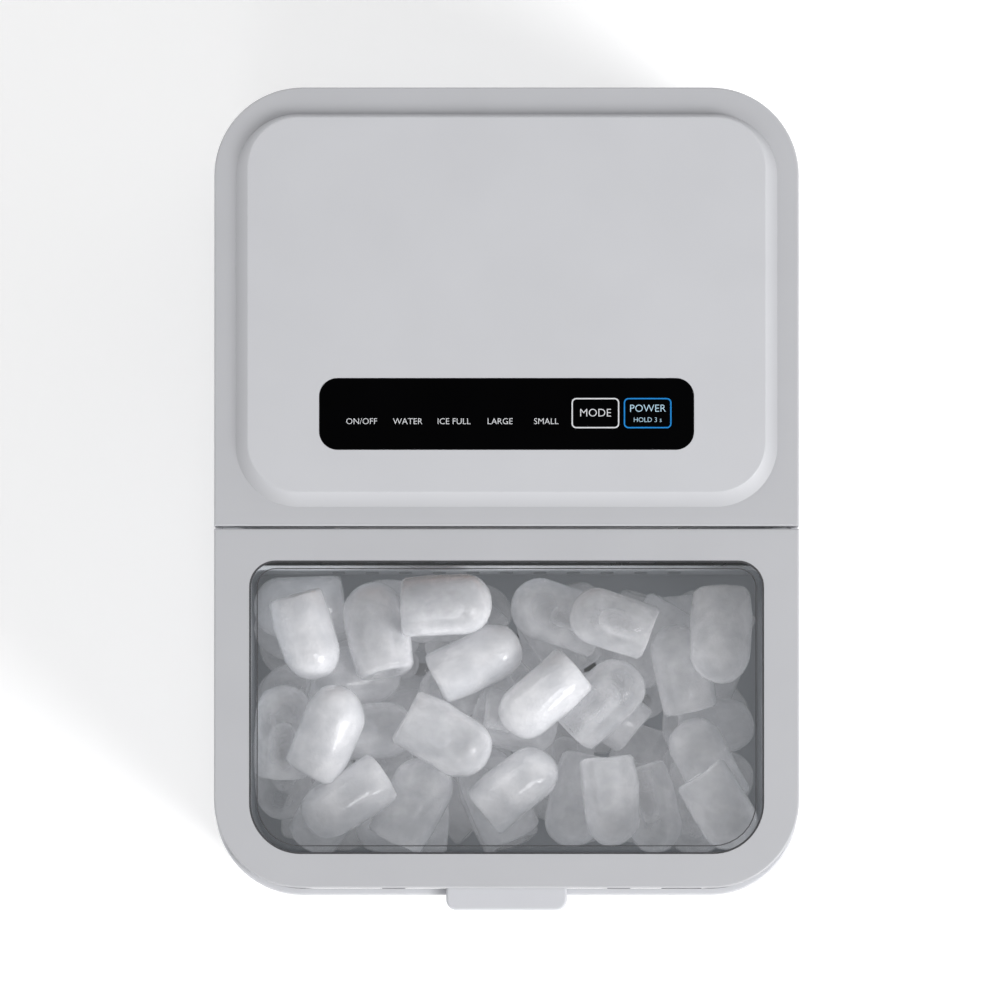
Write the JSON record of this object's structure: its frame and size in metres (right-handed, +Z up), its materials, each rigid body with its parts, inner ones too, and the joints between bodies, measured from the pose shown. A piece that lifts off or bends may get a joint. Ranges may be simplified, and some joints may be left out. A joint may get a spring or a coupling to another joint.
{
  "type": "ice maker",
  "caption": "Countertop ice maker with a hinged lid with a clear window, an ice basket, a tilting water tray and a rear control panel.",
  "frame": {"origin": "on the surface that the feet stand on, under the middle of the lid and rear cover's plan, which is within half a millimetre of the middle of the bounding box", "axes": "+Z up, -Y towards the front where the lid opens, +X to the right of someone facing the back from the front"},
  "size_m": [0.222, 0.3199, 0.32],
  "materials": {
    "casing_plastic": "fine satin texture",
    "cover_plastic": "satin",
    "panel_gloss": "high gloss black",
    "clear_window": "clear polycarbonate",
    "seal_rubber": "dull",
    "foot_rubber": "dull",
    "tank_plastic": "white",
    "insulation": "expanded foam",
    "basket_plastic": "translucent white",
    "dark_plastic": "dull black",
    "steel": "plated",
    "painted_steel": "semi-gloss black paint",
    "nickel": "nickel plate",
    "copper": "drawn copper",
    "aluminium": "plain fins",
    "silicone": "translucent",
    "circuit_board": "solder mask",
    "indicator": "diffused"
  },
  "bodies": {
    "casing": {"feet": "foot_rubber", "base_plate": "steel", "base_screws": "steel", "front_moulding": "casing_plastic", "left_side_panel": "casing_plastic", "right_side_panel": "casing_plastic", "rear_moulding": "casing_plastic", "rear_grille": "casing_plastic", "inlet_gland": "dark_plastic", "rear_cover": "cover_plastic", "cover_screws": "steel", "control_panel": "panel_gloss", "control_board": "circuit_board", "indicator_lights": "indicator", "touch_springs": "steel", "hinge_brackets": "steel", "inner_tank": "tank_plastic", "tank_insulation": "insulation", "drain_pipe": "silicone", "tray_motor": "dark_plastic", "evaporator_carrier": "tank_plastic", "evaporator_header": "copper", "evaporator_fingers": "nickel", "ice_sensors": "dark_plastic", "water_pump": "dark_plastic", "fill_hose": "silicone", "float_stem": "tank_plastic", "compressor": "painted_steel", "compressor_grommets": "foot_rubber", "terminal_cover": "dark_plastic", "condenser_tube": "copper", "condenser_fins": "aluminium", "fan_shroud": "dark_plastic", "fan_motor": "steel", "filter_dryer": "copper", "discharge_line": "copper", "suction_line": "copper", "hot_gas_line": "copper", "gas_valve": "steel", "capillary": "copper", "rear_frame": "steel", "board_case": "dark_plastic", "power_board": "circuit_board", "board_components": "dark_plastic", "control_lead": "dark_plastic", "compressor_lead": "dark_plastic"},
    "lid": {"lid_frame": "cover_plastic", "window_gasket": "seal_rubber", "lid_window": "clear_window", "lid_ring": "casing_plastic", "hinge_pins": "steel"},
    "basket": {"ice_basket": "basket_plastic"},
    "tray": {"water_tray": "tank_plastic", "ice_shovel": "basket_plastic", "motor_shaft": "steel"},
    "fan": {"fan_rotor": "dark_plastic"},
    "impeller": {"pump_impeller": "tank_plastic"},
    "float": {"water_float": "basket_plastic"},
    "cap": {"drain_cap": "foot_rubber"}
  },
  "joints": [
    {"name": "lid_hinge", "type": "hinge", "parent": "casing", "child": "lid", "pos_m": [0, -0.02965, 0.3103], "axis": [-1, 0, 0], "range_deg": [0, 100]},
    {"name": "basket_lift", "type": "slide", "parent": "casing", "child": "basket", "axis": [0, 0, 1], "range_m": [0, 0.02]},
    {"name": "tray_tilt", "type": "hinge", "parent": "casing", "child": "tray", "pos_m": [0, 0.038, 0.238], "axis": [1, 0, 0], "range_deg": [0, 80]},
    {"name": "fan_spin", "type": "hinge", "parent": "casing", "child": "fan", "pos_m": [-0.076, 0.074, 0.07], "axis": [1, 0, 0], "continuous": true},
    {"name": "impeller_spin", "type": "hinge", "parent": "casing", "child": "impeller", "pos_m": [0.06, -0.02, 0.075], "axis": [0, 0, 1], "continuous": true},
    {"name": "float_rise", "type": "slide", "parent": "casing", "child": "float", "axis": [0, 0, 1], "range_m": [0, 0.022]},
    {"name": "cap_pull", "type": "slide", "parent": "casing", "child": "cap", "axis": [0, -1, 0], "range_m": [0, 0.012]}
  ]
}
